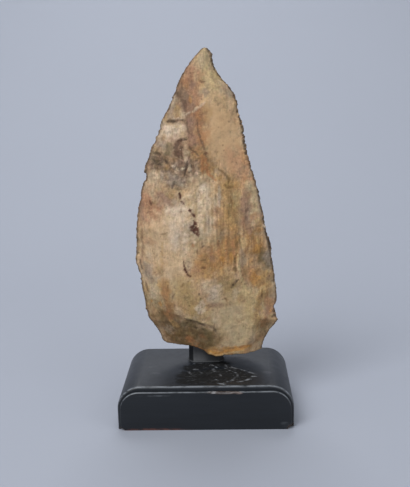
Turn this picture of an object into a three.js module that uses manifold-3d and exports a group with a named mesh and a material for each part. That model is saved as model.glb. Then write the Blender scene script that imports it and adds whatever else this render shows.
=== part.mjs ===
// A chipped stone axe that stands on its butt on a short post and a dark wooden plinth.
// Millimetres, +Z up, +X to the viewer's right, +Y away from the viewer.
// The origin is the middle of the plinth's underside.
import * as THREE from "three";
import { mergeVertices } from "three/addons/utils/BufferGeometryUtils.js";
import Module from "manifold-3d";

// Plinth: a block with two round top corners and a raised panel on its front and its back.
const PLINTH_WIDTH = 110;
const PLINTH_DEPTH = 76;
const PLINTH_HEIGHT = 28;
const PLINTH_CORNER = 14.5;
const BODY_ROUND = 2;
const PANEL_STEP = 3;
const PANEL_PROUD = 2;
const PANEL_ROUND = 1;

// Post: a squared bar with chamfered corners, between the plinth and the butt of the stone.
const POST_WIDTH = 23;
const POST_DEPTH = 9;
const POST_CHAMFER = 3;
const POST_X = -0.3;
const POST_Y = 12;
const POST_LENGTH = 18;
const POST_GAP = 0.3;

// Stone: its height, the plane of its worked edge, and how far each face bulges from that plane.
const STONE_FOOT = 35.8;
const STONE_TIP = 232.4;
const STONE_Y = 6;
const FRONT_BULGE = 16;
const BACK_BULGE = 22;
const TIP_SHARE = 0.2;
const TAPER_POWER = 1.8;
const FACE_POWER = 2.4;
const BUTT_THINNING = 0.16;
const LEFT_WAVE = { swing: 1.3, length: 46, start: 0.6 };
const RIGHT_WAVE = { swing: 0.9, length: 38, start: 2 };

// The worked edges, from the butt to the tip, as height and x.
const LEFT_EDGE = [
  [30, -20], [42.4, -27.7], [53.2, -33], [61.6, -38.6], [71.2, -39.6], [82.8, -41.7],
  [92.3, -43.8], [97.1, -45.2], [118.3, -43.7], [131.4, -42.5], [141.8, -40.3], [147.9, -39.2],
  [151.4, -37.3], [159.1, -37.1], [174.2, -31.3], [187.2, -25.7], [198.9, -19.7], [209.3, -15.7],
  [220.1, -9.6], [230.8, -0.7], [STONE_TIP, 1.4],
];
const RIGHT_EDGE = [
  [30, 36], [36.3, 37], [44, 38.8], [52.6, 44.1], [58, 48.1], [60.5, 46.2], [65.3, 45.9],
  [74.1, 47.4], [86.9, 46], [105, 43.8], [124.8, 39.5], [144.3, 35.8], [161.6, 31], [188.1, 24.7],
  [197.4, 23.5], [203.5, 21.7], [208.6, 18.8], [217.9, 10.4], [225.2, 8], [230.9, 7], [STONE_TIP, 4.8],
];

const wasm = await Module();
wasm.setup();

// A closed geometry as a solid that can be joined and cut.
function solidOf(geometry) {
  const bare = geometry.clone();
  bare.deleteAttribute("normal");
  bare.deleteAttribute("uv");
  const merged = mergeVertices(bare, 1e-4);
  return new wasm.Manifold(
    new wasm.Mesh({
      numProp: 3,
      vertProperties: new Float32Array(merged.attributes.position.array),
      triVerts: new Uint32Array(merged.index.array),
    }),
  );
}

// A solid as a geometry again.
function geometryOf(solid) {
  const mesh = solid.getMesh();
  const geometry = new THREE.BufferGeometry();
  geometry.setAttribute("position", new THREE.BufferAttribute(mesh.vertProperties, 3));
  geometry.setIndex(new THREE.BufferAttribute(mesh.triVerts, 1));
  geometry.computeVertexNormals();
  return geometry;
}

// An ellipsoid with its three half axes along the given directions.
function ellipsoid(center, axes, halves, detail) {
  const placed = new THREE.Matrix4().makeBasis(...axes);
  placed.scale(new THREE.Vector3(...halves));
  placed.setPosition(center);
  return solidOf(new THREE.IcosahedronGeometry(1, detail).applyMatrix4(placed));
}

const UPRIGHT_AXES = [
  new THREE.Vector3(1, 0, 0),
  new THREE.Vector3(0, 1, 0),
  new THREE.Vector3(0, 0, 1),
];

// Plinth

// The arch outline of the plinth, drawn inwards by a step and carried below the floor.
function archShape(step) {
  const half = PLINTH_WIDTH / 2 - step;
  const top = PLINTH_HEIGHT - step;
  const radius = PLINTH_CORNER - step;
  const below = -2 * BODY_ROUND - PANEL_STEP;
  const shape = new THREE.Shape();
  shape.moveTo(-half, below);
  shape.lineTo(half, below);
  shape.lineTo(half, top - radius);
  shape.absarc(half - radius, top - radius, radius, 0, Math.PI / 2);
  shape.lineTo(-half + radius, top);
  shape.absarc(-half + radius, top - radius, radius, Math.PI / 2, Math.PI);
  return shape;
}

// The arch outline as a slab along Y with rounded front and back edges.
function archSlab(step, depth, round, roundSteps) {
  const slab = new THREE.ExtrudeGeometry(archShape(step), {
    depth: depth - 2 * round,
    curveSegments: 6,
    bevelThickness: round,
    bevelSize: round,
    bevelOffset: -round,
    bevelSegments: roundSteps,
  });
  slab.translate(0, 0, -(depth - 2 * round) / 2);
  slab.rotateX(Math.PI / 2);
  return solidOf(slab);
}

// Where the front is knocked: a long chip on the top of the panel and two lost lower corners.
const FRONT_Y = -PLINTH_DEPTH / 2;
const PLINTH_CHIPS = [
  { center: [12, FRONT_Y - 0.3, PLINTH_HEIGHT - PANEL_STEP + 0.3], halves: [10.5, 1.5, 1.6] },
  { center: [PLINTH_WIDTH / 2 - 1.5, FRONT_Y + 1, 0], halves: [5, 5, 3.4] },
  { center: [-PLINTH_WIDTH / 2 + 2.4, FRONT_Y + 0.6, 0], halves: [1.8, 3, 1.6] },
];

function makePlinth() {
  let plinth = archSlab(0, PLINTH_DEPTH - 2 * PANEL_PROUD, BODY_ROUND, 3);
  plinth = plinth.add(archSlab(PANEL_STEP, PLINTH_DEPTH, PANEL_ROUND, 2));
  const ground = new THREE.BoxGeometry(2 * PLINTH_WIDTH, 2 * PLINTH_DEPTH, PLINTH_HEIGHT);
  ground.translate(0, 0, -PLINTH_HEIGHT / 2);
  plinth = plinth.subtract(solidOf(ground));
  for (const chip of PLINTH_CHIPS) {
    const center = new THREE.Vector3(...chip.center);
    plinth = plinth.subtract(ellipsoid(center, UPRIGHT_AXES, chip.halves, 1));
  }
  return plinth;
}

// Stone

// The edge point at a height, on the smooth curve through an edge's points.
function edgeReader(points) {
  const curve = new THREE.SplineCurve(points.map(([z, x]) => new THREE.Vector2(z, x)));
  const trace = curve.getPoints(12 * points.length);
  return (z) => {
    const after = Math.max(1, trace.findIndex((p) => p.x >= z));
    const low = trace[after - 1];
    const high = trace[after];
    return THREE.MathUtils.mapLinear(z, low.x, high.x, low.y, high.y);
  };
}

const leftX = edgeReader(LEFT_EDGE);
const rightX = edgeReader(RIGHT_EDGE);

// How thick the stone is at a height, as a share of its greatest bulge.
function thicknessShare(z) {
  const height = THREE.MathUtils.clamp((z - STONE_FOOT) / (STONE_TIP - STONE_FOOT), 0, 1);
  const butt = 1 - BUTT_THINNING * (1 - THREE.MathUtils.smoothstep(height, 0, BUTT_THINNING));
  return butt * (TIP_SHARE + (1 - TIP_SHARE) * (1 - height ** TAPER_POWER));
}

// The depth of the worked edge, which swings gently from face to face.
function edgeY(z, side) {
  const wave = side < 0 ? LEFT_WAVE : RIGHT_WAVE;
  return STONE_Y + wave.swing * Math.sin((2 * Math.PI * z) / wave.length + wave.start);
}

// The depth of the front (-1) or back (+1) face of the unstruck blank at share s across, -1 to 1.
function blankY(face, z, s) {
  const bulge = face < 0 ? FRONT_BULGE : BACK_BULGE;
  const middle = THREE.MathUtils.lerp(edgeY(z, -1), edgeY(z, 1), (s + 1) / 2);
  return middle + face * bulge * thicknessShare(z) * (1 - Math.abs(s) ** FACE_POWER);
}

// The same depth at a given x.
function faceY(face, x, z) {
  const left = leftX(z);
  const right = rightX(z);
  const s = THREE.MathUtils.clamp(THREE.MathUtils.mapLinear(x, left, right, -1, 1), -1, 1);
  return blankY(face, z, s);
}

// The blank: rings of points round the lens-shaped section at each height, closed at both ends.
const RING_STEPS = 9;
const RING_RISE = 4.4;
const CORNER_HEIGHTS = [58, 97.1, 217.9];

function ringHeights() {
  const low = LEFT_EDGE[0][0];
  const count = Math.round((STONE_TIP - low) / RING_RISE);
  const even = Array.from({ length: count + 1 }, (_, i) => low + ((STONE_TIP - low) * i) / count);
  return even
    .filter((z) => CORNER_HEIGHTS.every((corner) => Math.abs(z - corner) > RING_RISE / 2))
    .concat(CORNER_HEIGHTS)
    .sort((a, b) => a - b);
}

function makeBlank() {
  const heights = ringHeights();
  const around = 4 * RING_STEPS;
  const points = [];
  for (const z of heights) {
    const left = leftX(z);
    const right = rightX(z);
    for (let i = 0; i < around; i += 1) {
      const angle = (i / around) * 2 * Math.PI;
      const s = -Math.cos(angle);
      const face = i < around / 2 ? -1 : 1;
      const x = THREE.MathUtils.mapLinear(s, -1, 1, left, right);
      points.push(x, blankY(face, z, s), z);
    }
  }
  for (const z of [heights[0], heights.at(-1)]) {
    points.push((leftX(z) + rightX(z)) / 2, STONE_Y, z);
  }
  const triangles = [];
  for (let ring = 0; ring < heights.length - 1; ring += 1) {
    for (let i = 0; i < around; i += 1) {
      const next = (i + 1) % around;
      const a = ring * around + i;
      const b = ring * around + next;
      triangles.push(a, b, b + around, a, b + around, a + around);
    }
  }
  const bottom = heights.length * around;
  const lastRing = (heights.length - 1) * around;
  for (let i = 0; i < around; i += 1) {
    const next = (i + 1) % around;
    triangles.push(bottom, next, i);
    triangles.push(bottom + 1, lastRing + i, lastRing + next);
  }
  const blank = new THREE.BufferGeometry();
  blank.setAttribute("position", new THREE.Float32BufferAttribute(points, 3));
  blank.setIndex(triangles);
  return solidOf(blank);
}

// A flake scar: a shallow dish struck at one point of a face and ending at another, both as x and z.
// Its floor passes a bite below the struck point, sags below the line to its end, and spreads
// sideways along the struck edge.
const DISH_RATIO = 5;
const STRUCK_SHARE = 0.35;
const DISH_RIM = Math.sqrt(1 - (1 - 1 / DISH_RATIO) ** 2);

function flakeScar({ face, struck, end, spread, width, sag, bite = 0, detail = 6 }) {
  const start = new THREE.Vector3(struck[0], faceY(face, ...struck), struck[1]);
  const finish = new THREE.Vector3(end[0], faceY(face, ...end), end[1]);
  const along = new THREE.Vector3().subVectors(finish, start).normalize();
  const out = new THREE.Vector3().crossVectors(along, spread).normalize();
  out.multiplyScalar(Math.sign(out.y * face));
  start.addScaledVector(out, sag * (1 - STRUCK_SHARE ** 2) - bite);
  along.subVectors(finish, start).normalize();
  const half = start.distanceTo(finish) / (1 + STRUCK_SHARE);
  const rise = DISH_RATIO * sag;
  const center = finish.clone().addScaledVector(along, -half).addScaledVector(out, rise - sag);
  const halves = [half / DISH_RIM, width / 2 / DISH_RIM, rise];
  const turn = Math.sign(new THREE.Vector3().crossVectors(along, spread).dot(out));
  return ellipsoid(center, [along, spread.clone().multiplyScalar(turn), out], halves, detail);
}

// A scar struck from the left (-1) or right (+1) edge at a height.
function edgeScar({ face, side, at, ...dish }) {
  const edgeX = side < 0 ? leftX : rightX;
  const reach = dish.width / 3;
  const spread = new THREE.Vector3(
    edgeX(at + reach) - edgeX(at - reach),
    edgeY(at + reach, side) - edgeY(at - reach, side),
    2 * reach,
  ).normalize();
  return flakeScar({ face, struck: [edgeX(at), at], spread, ...dish });
}

// The scars that show on the front face, from the tip down.
const FRONT_EDGE_SCARS = [
  { side: -1, at: 205, end: [1, 199], width: 46, sag: 0.7 },
  { side: 1, at: 178, end: [3, 170], width: 76, sag: 1, bite: -0.5 },
  { side: -1, at: 183, end: [-8, 179], width: 22, sag: 1.4, bite: 0.3 },
  { side: -1, at: 165, end: [-7, 161], width: 29, sag: 2.1, bite: 0.4 },
  { side: -1, at: 147, end: [-23, 148], width: 17, sag: 0.8 },
  { side: -1, at: 130, end: [-22, 131], width: 22, sag: 0.9 },
  { side: -1, at: 109, end: [-26, 108], width: 25, sag: 0.9 },
  { side: -1, at: 88, end: [-32, 88], width: 18, sag: 1.2, bite: 0.2 },
  { side: -1, at: 67, end: [-24, 74], width: 24, sag: 1.1, bite: 0.2 },
  { side: 1, at: 51, end: [34, 61], width: 16, sag: 1.1, bite: 0.2 },
  { side: 1, at: 70, end: [33, 72], width: 17, sag: 0.8 },
  { side: 1, at: 93, end: [21, 98], width: 38, sag: 1.2 },
  { side: 1, at: 120, end: [28, 121], width: 22, sag: 0.6 },
  { side: 1, at: 140, end: [24, 142], width: 20, sag: 0.5 },
];
const ALONG_BUTT_LEFT = new THREE.Vector3(0.97, 0, -0.24);
const ALONG_BUTT_RIGHT = new THREE.Vector3(0.99, 0, 0.1);
const FRONT_BUTT_SCARS = [
  { struck: [-12, 45], end: [-10, 64], spread: ALONG_BUTT_LEFT, width: 44, sag: 1.8, bite: 2.4 },
  { struck: [25, 42], end: [19, 90], spread: ALONG_BUTT_RIGHT, width: 38, sag: 1.9, bite: 0.9 },
];

// Plainer scars on the back, struck in turn from both edges towards the middle ridge.
const BACK_ROWS = 6;
const BACK_FIRST = 66;
const BACK_RISE = 23;

function backScars() {
  const scars = [];
  for (let row = 0; row < BACK_ROWS; row += 1) {
    for (const side of [-1, 1]) {
      const sway = (rate, turn) => Math.sin(rate * row + turn * side);
      const stagger = side > 0 ? 0.42 : 0;
      const at = BACK_FIRST + BACK_RISE * (row + stagger) + 3 * sway(5, 1);
      const middle = (rightX(at) + leftX(at)) / 2;
      const half = (rightX(at) - leftX(at)) / 2;
      scars.push({
        face: 1,
        side,
        at,
        end: [middle + half * (0.14 * side + 0.15 * Math.sin(2.3 * row + 1)), at - 4 + 6 * sway(3, 2)],
        width: BACK_RISE * (1.4 + 0.2 * sway(4, 2)),
        sag: 0.8 + 0.03 * half,
        detail: 5,
      });
    }
  }
  return scars;
}

// Fine retouch: small bites in a row along the right edge, on the front face.
const RETOUCH_FROM = 84;
const RETOUCH_TO = 212;
const RETOUCH_PITCH = 5.6;

function retouchScars() {
  const count = Math.round((RETOUCH_TO - RETOUCH_FROM) / RETOUCH_PITCH);
  return Array.from({ length: count }, (_, i) => {
    const at = RETOUCH_FROM + RETOUCH_PITCH * i + 0.9 * Math.sin(7 * i);
    const size = 1 + 0.3 * Math.sin(3.7 * i + 1);
    const end = [rightX(at) - 4.4 * size, at];
    const dish = { width: 6.6 * size, sag: 0.55 * size, bite: 0.3 * size, detail: 2 };
    return { face: -1, side: 1, at, end, ...dish };
  });
}

// The butt: two faces struck from below that meet in a low keel, and a hollow to the left of it.
const BUTT_KEEL_X = 6.5;
const BUTT_FRONT_Y = -7;
const BUTT_LEFT_SLOPE = -14;
const BUTT_RIGHT_SLOPE = 4.3;
const BUTT_FALL_TO_BACK = 5;
const BUTT_HOLLOW = { center: [-20, -3, 33], halves: [23, 24, 10.4] };

function buttCut(slope) {
  const size = 2 * PLINTH_WIDTH;
  const block = new THREE.BoxGeometry(size, size, size);
  block.translate(0, 0, -size / 2);
  const turned = new THREE.Matrix4()
    .makeTranslation(BUTT_KEEL_X, BUTT_FRONT_Y, STONE_FOOT)
    .multiply(new THREE.Matrix4().makeRotationX(THREE.MathUtils.degToRad(-BUTT_FALL_TO_BACK)))
    .multiply(new THREE.Matrix4().makeRotationY(THREE.MathUtils.degToRad(-slope)));
  return solidOf(block.applyMatrix4(turned));
}

function makeStone() {
  let stone = makeBlank();
  stone = stone.subtract(buttCut(BUTT_LEFT_SLOPE));
  stone = stone.subtract(buttCut(BUTT_RIGHT_SLOPE));
  const hollow = new THREE.Vector3(...BUTT_HOLLOW.center);
  stone = stone.subtract(ellipsoid(hollow, UPRIGHT_AXES, BUTT_HOLLOW.halves, 4));
  const front = FRONT_EDGE_SCARS.map((scar) => ({ face: -1, ...scar }));
  for (const scar of [...backScars(), ...front, ...retouchScars()]) {
    stone = stone.subtract(edgeScar(scar));
  }
  for (const scar of FRONT_BUTT_SCARS) {
    stone = stone.subtract(flakeScar({ face: -1, ...scar }));
  }
  return stone;
}

// Post

function makePost(stone) {
  const halfX = POST_WIDTH / 2;
  const halfY = POST_DEPTH / 2;
  const shape = new THREE.Shape();
  shape.moveTo(-halfX + POST_CHAMFER, -halfY);
  shape.lineTo(halfX - POST_CHAMFER, -halfY);
  shape.lineTo(halfX, -halfY + POST_CHAMFER);
  shape.lineTo(halfX, halfY - POST_CHAMFER);
  shape.lineTo(halfX - POST_CHAMFER, halfY);
  shape.lineTo(-halfX + POST_CHAMFER, halfY);
  shape.lineTo(-halfX, halfY - POST_CHAMFER);
  shape.lineTo(-halfX, -halfY + POST_CHAMFER);
  const bar = new THREE.ExtrudeGeometry(shape, { depth: POST_LENGTH, bevelEnabled: false });
  bar.translate(POST_X, POST_Y, PLINTH_HEIGHT);
  const lowered = geometryOf(stone).translate(0, 0, -POST_GAP);
  return solidOf(bar).subtract(solidOf(lowered));
}

// Assembly

const FINISHES = {
  stone: { color: 0xb09468, roughness: 0.8, metalness: 0 },
  post: { color: 0x3f4146, roughness: 0.45, metalness: 0.6 },
  plinth: { color: 0x26292e, roughness: 0.4, metalness: 0 },
};

const axe = new THREE.Group();

function addPiece(name, solid, finish) {
  const mesh = new THREE.Mesh(geometryOf(solid), new THREE.MeshStandardMaterial(finish));
  mesh.name = name;
  axe.add(mesh);
}

const stone = makeStone();
addPiece("stone_axe", stone, FINISHES.stone);
addPiece("post", makePost(stone), FINISHES.post);
addPiece("plinth", makePlinth(), FINISHES.plinth);

export default axe;
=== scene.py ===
# %% [markdown]
# # A chipped stone axe on its stand
# A flaked stone blade stands on a short metal post, and the post on a black wooden plinth. Their
# solids come from a fixed frame, in metres, and are never moved. Each finished piece below is
# modelled where its solid stands, gets its own material, and hides the solid it replaces.

# %% Load the frame
import math

import bmesh
import bpy
import numpy as np
from mathutils import Matrix, Vector, noise


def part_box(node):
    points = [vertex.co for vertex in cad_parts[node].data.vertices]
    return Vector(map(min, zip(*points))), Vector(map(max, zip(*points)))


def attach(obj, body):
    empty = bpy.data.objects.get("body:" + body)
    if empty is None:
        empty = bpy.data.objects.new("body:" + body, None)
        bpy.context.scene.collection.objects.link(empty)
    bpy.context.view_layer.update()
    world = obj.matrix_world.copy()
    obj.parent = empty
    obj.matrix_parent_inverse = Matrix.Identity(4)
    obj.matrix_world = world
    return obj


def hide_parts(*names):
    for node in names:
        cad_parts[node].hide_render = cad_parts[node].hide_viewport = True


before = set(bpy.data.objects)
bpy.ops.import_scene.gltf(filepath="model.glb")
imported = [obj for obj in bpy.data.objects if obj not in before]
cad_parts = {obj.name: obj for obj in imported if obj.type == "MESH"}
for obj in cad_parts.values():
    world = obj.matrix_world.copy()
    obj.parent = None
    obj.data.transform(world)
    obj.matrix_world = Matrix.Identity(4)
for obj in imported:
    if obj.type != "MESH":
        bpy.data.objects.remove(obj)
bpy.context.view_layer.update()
MM = 0.001

# %% [markdown]
# ## The camera
# The stand was photographed from a little above and almost straight in front. The eye's place, its
# three turns and the focal length were found by lining up the plinth's known corners, so the
# camera is set from them and not by eye. The picture is 487 pixels high, and a sensor measured
# on its vertical side turns the focal length in pixels into millimetres.

# %% Place the camera
EYE = Vector((15.71, -509.28, 218.64)) * MM
TURN_LEFT = math.radians(1.672)
LOOK_DOWN = math.radians(11.972)
TILT = math.radians(-1.245)
IMAGE_HEIGHT = 487
FOCAL_PIXELS = 813.4
SENSOR = 36.0

aim = Matrix.Rotation(TURN_LEFT, 4, "Z") @ Matrix.Rotation(math.pi / 2 - LOOK_DOWN, 4, "X")
aim = aim @ Matrix.Rotation(TILT, 4, "Z")
bpy.ops.object.select_all(action="DESELECT")
bpy.ops.object.camera_add(location=EYE, rotation=aim.to_euler())
camera = bpy.context.object
camera.data.sensor_fit = "VERTICAL"
camera.data.sensor_height = SENSOR
camera.data.lens = FOCAL_PIXELS / IMAGE_HEIGHT * SENSOR
bpy.context.scene.camera = camera
print("lens in mm", round(camera.data.lens, 2))

# %% [markdown]
# ## Tools for modelling
# An operator acts on what is selected, so the helpers below do what a hand does before each step:
# clear the selection, pick parts of the mesh by their place, and put a finished piece's place into
# its mesh, so that its object sits unturned at the origin.

# %% Helpers for operators
SLACK = 0.01 * MM
FLAT_ON = 0.999


def settle(name):
    """Names the object just added and moves its place, turn and size into its mesh."""
    piece = bpy.context.object
    piece.name = name
    piece.data.name = name
    bpy.ops.object.transform_apply(location=True, rotation=True, scale=True)
    return piece


def pick(kind, test):
    """Selects those vertices, edges or faces of the mesh in edit mode that pass the test."""
    bpy.ops.mesh.select_mode(type=kind)
    bpy.ops.mesh.select_all(action="DESELECT")
    mesh = bmesh.from_edit_mesh(bpy.context.object.data)
    parts = {"VERT": mesh.verts, "EDGE": mesh.edges, "FACE": mesh.faces}[kind]
    for part in [part for part in parts if test(part)]:
        part.select_set(True)
    bmesh.update_edit_mesh(bpy.context.object.data)


def add_modifier(piece, kind, **settings):
    """Adds a modifier with these settings and applies it."""
    modifier = piece.modifiers.new(kind.title(), kind)
    for name, value in settings.items():
        setattr(modifier, name, value)
    bpy.ops.object.modifier_apply(modifier=modifier.name)


def middle(edge):
    return (edge.verts[0].co + edge.verts[1].co) / 2


def near(a, b):
    return abs(a - b) < SLACK


# %% [markdown]
# ## Tools for materials
# Shader maths reads best as sums. A wire below holds one output of a node, and adding, taking or
# multiplying wires puts in the Math nodes. Every other node comes from one method: its settings
# are made first, then its sockets are filled with plain values or with wires.

# %% A wire of a material
class Wire:
    """One output socket in a material's node tree."""

    def __init__(self, tree, socket=None):
        self.tree = tree
        self.socket = socket

    def node(self, kind, settings, sockets, output=0):
        made = self.tree.nodes.new("ShaderNode" + kind)
        for name, value in settings.items():
            setattr(made, name, value)
        for name, value in sockets.items():
            if isinstance(value, Wire):
                self.tree.links.new(value.socket, made.inputs[name])
            else:
                made.inputs[name].default_value = value
        return Wire(self.tree, made.outputs[output])

    def math(self, operation, *values):
        return self.node("Math", {"operation": operation}, dict(enumerate(values)))

    def __add__(self, other):
        return self.math("ADD", self, other)

    def __sub__(self, other):
        return self.math("SUBTRACT", self, other)

    def __rsub__(self, other):
        return self.math("SUBTRACT", other, self)

    def __mul__(self, other):
        return self.math("MULTIPLY", self, other)

    __radd__ = __add__
    __rmul__ = __mul__

    def ease(self, low, high):
        """A smooth step from 0 at low to 1 at high."""
        limits = {"From Min": low, "From Max": high}
        return self.node("MapRange", {"interpolation_type": "SMOOTHSTEP"}, {"Value": self, **limits})

    def mix(self, other, share, blend="MIX"):
        """This colour with a share of another over it."""
        settings = {"data_type": "RGBA", "blend_type": blend}
        return self.node("Mix", settings, {0: share, 6: self, 7: other}, output=2)


def linear(red, green, blue):
    """A colour as seen on a screen, 0 to 255, as the light values that a shader takes."""
    shares = [c / 255 for c in (red, green, blue)]
    return tuple(c / 12.92 if c <= 0.04045 else ((c + 0.055) / 1.055) ** 2.4 for c in shares)


def shade(red, green, blue):
    """A screen colour as a socket takes it, with its alpha."""
    return (*linear(red, green, blue), 1)


def start_finish(name):
    """A new material, its main shader, and the place on the piece as a wire."""
    finish = bpy.data.materials.new(name)
    finish.use_nodes = True
    shader = finish.node_tree.nodes["Principled BSDF"]
    place = Wire(finish.node_tree).node("TexCoord", {}, {}, output="Object")
    return finish, shader, place


def feed(shader, **wires):
    """Links wires to the main shader's sockets, whose names have _ for a space here."""
    for name, wire in wires.items():
        wire.tree.links.new(wire.socket, shader.inputs[name.replace("_", " ")])


def mottle(place, size, detail=4, stretch=(1, 1, 1), shift=0.0):
    """Noise from 0 to 1 with features of about this size in millimetres, drawn out by the stretch."""
    scale = tuple(1 / (size * MM * part) for part in stretch)
    moved = place.node("Mapping", {}, {"Vector": place, "Scale": scale, "Location": (shift, shift, shift)})
    return place.node("TexNoise", {}, {"Vector": moved, "Scale": 1.0, "Detail": detail})


def between(share, low, high):
    """A colour between two screen colours, by a wire from 0 to 1."""
    return share.node("Mix", {"data_type": "RGBA"}, {0: share, 6: shade(*low), 7: shade(*high)}, output=2)


# %% [markdown]
# ## Stage and light
# The background is a sheet of pale blue-grey paper that runs from the table up the wall in one
# sweep. A plane with its far edge pulled up and rounded gives that. The light is soft: a pale sky
# all round, a wide lamp high in front on the left, a weaker one on the right, and another high
# behind, so that the back can be seen too.

# %% Lay the paper sweep
PAPER_SPAN = 12.0
PAPER_BACK = 1.1
PAPER_RISE = 4.0
PAPER_BEND = 0.8
PAPER_SLACK = 0.01
PAPER_SHADES = ((152, 157, 169), (155, 160, 172))
PAPER_MOTTLE = 400

bpy.ops.object.select_all(action="DESELECT")
bpy.ops.mesh.primitive_plane_add(size=PAPER_SPAN, location=(0, PAPER_BACK - PAPER_SPAN / 2, 0))
paper = settle("paper_sweep")
bpy.ops.object.mode_set(mode="EDIT")
pick("EDGE", lambda edge: middle(edge).y > PAPER_BACK - PAPER_SLACK)
bpy.ops.mesh.extrude_region_move(TRANSFORM_OT_translate={"value": (0, 0, PAPER_RISE)})
pick("EDGE", lambda edge: middle(edge).y > PAPER_BACK - PAPER_SLACK and abs(middle(edge).z) < PAPER_SLACK)
bpy.ops.mesh.bevel(offset=PAPER_BEND, segments=24, affect="EDGES")
bpy.ops.object.mode_set(mode="OBJECT")
bpy.ops.object.shade_smooth()

paper_finish, paper_shader, place = start_finish("pale_paper")
feed(paper_shader, Base_Color=between(mottle(place, PAPER_MOTTLE, 2), *PAPER_SHADES))
paper_shader.inputs["Roughness"].default_value = 0.9
paper.data.materials.append(paper_finish)
print("paper", len(paper.data.polygons), "faces")

# %% Hang the lights
SKY_STRENGTH = 0.4
SKY_COLOUR = (0.95, 0.98, 1.0, 1)
LAMPS = {
    "key_lamp": {"place": (-0.8, -1.1, 1.5), "size": 1.0, "watts": 28},
    "fill_lamp": {"place": (1.2, -1.0, 0.9), "size": 1.2, "watts": 6},
    "back_lamp": {"place": (-0.05, 0.8, 1.2), "size": 0.8, "watts": 9},
}
LAMP_AIM = Vector((0, 0, 0.12))

studio = bpy.data.worlds.new("studio")
bpy.context.scene.world = studio
studio.use_nodes = True
sky = studio.node_tree.nodes["Background"]
sky.inputs["Color"].default_value = SKY_COLOUR
sky.inputs["Strength"].default_value = SKY_STRENGTH
for name, lamp in LAMPS.items():
    stand = Vector(lamp["place"])
    turn = (LAMP_AIM - stand).to_track_quat("-Z", "Y").to_euler()
    bpy.ops.object.light_add(type="AREA", location=stand, rotation=turn)
    light = bpy.context.object
    light.name = name
    light.data.size = lamp["size"]
    light.data.energy = lamp["watts"]
bpy.context.scene.view_settings.view_transform = "Standard"
print("lamps", list(LAMPS))

# %% [markdown]
# ## The stone's form
# The blade was struck from a slab of hard stone: broad flakes came off both faces and small ones off
# the right edge. The solid already has those scars, but with flat facets. A copy of it is merged,
# covered with an even net by a voxel remesh and eased, so that fine relief can be worked into it.

# %% Cover the stone with an even net
NET = 0.66
EASE_PASSES = 2
MERGE_WITHIN = 0.001

stone = bpy.data.objects.new("chipped_stone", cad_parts["stone_axe"].data.copy())
bpy.context.scene.collection.objects.link(stone)
stone.data.materials.clear()
bpy.ops.object.select_all(action="DESELECT")
stone.select_set(True)
bpy.context.view_layer.objects.active = stone
bpy.ops.object.mode_set(mode="EDIT")
bpy.ops.mesh.select_all(action="SELECT")
bpy.ops.mesh.remove_doubles(threshold=MERGE_WITHIN * MM)
bpy.ops.object.mode_set(mode="OBJECT")
add_modifier(stone, "REMESH", mode="VOXEL", voxel_size=NET * MM)
add_modifier(stone, "SMOOTH", factor=0.5, iterations=EASE_PASSES)
bpy.ops.object.shade_smooth()
print("stone net", len(stone.data.vertices), "points", len(stone.data.polygons), "faces")

# %% [markdown]
# ## Reading the stone's surface
# Carving and staining both need to know, for each point of the net, where it is, which way it faces
# and how far it is from the worked edge. Noise of several sizes gives the stone its uneven grain.

# %% Read the points of the net
EDGE_ROW = 0.9
FACE_CONTRAST = 2.2


def read(collection, field):
    values = np.empty(3 * len(collection))
    collection.foreach_get(field, values)
    return values.reshape(-1, 3)


def ease(values):
    """A smooth step from 0 to 1."""
    share = np.clip(values, 0, 1)
    return share * share * (3 - 2 * share)


def grain(points, size, stretch=(1, 1, 1), octaves=3, start=0.0):
    """Noise from about -1 to 1 at each point, with features of this size in millimetres."""
    scaled = points / (size * np.array(stretch)) + start
    return np.array([noise.fractal(p, 1.0, 2.0, octaves) for p in scaled.tolist()])


points = read(stone.data.vertices, "co") / MM
facing = read(stone.data.vertex_normals, "vector")
x, z = points[:, 0], points[:, 2]
front = ease(0.5 - FACE_CONTRAST * facing[:, 1])
back = 1 - front
rows = np.round((z - z.min()) / EDGE_ROW).astype(int)
outline = np.full((2, rows.max() + 1), -np.inf)
np.maximum.at(outline[0], rows, -x)
np.maximum.at(outline[1], rows, x)
from_left = x + outline[0][rows]
from_right = outline[1][rows] - x
print("front share", round(float(front.mean()), 2), "height", round(float(z.max()), 1))

# %% Make the grain of the stone
cloud = grain(points, 26, start=3)
drift = grain(points, 13, start=11)
blotch = grain(points, 4.5)
crumb = grain(points, 1.7, start=7)
speck = grain(points, 1.0, octaves=2, start=17)
fibre = grain(points, 1.5, stretch=(1, 2, 12), start=5)
wander_x = grain(points, 5, start=21)
wander_z = grain(points, 5, start=31)
print("grain spread", [round(float(g.std()), 2) for g in (cloud, drift, blotch, crumb, speck, fibre)])

# %% [markdown]
# ## Brushes
# Stains, cracks and ridges lie along short routes, in millimetres across and up. A brush says how well
# each point is covered by a stroke that is fullest in the middle, thins out at its ends and frays
# with the grain. A wash is a broad, soft stroke. The cover then lays on a colour, sinks a groove
# or raises a ridge. The colours are as they look in the studio, so its tint is divided out.

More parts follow.
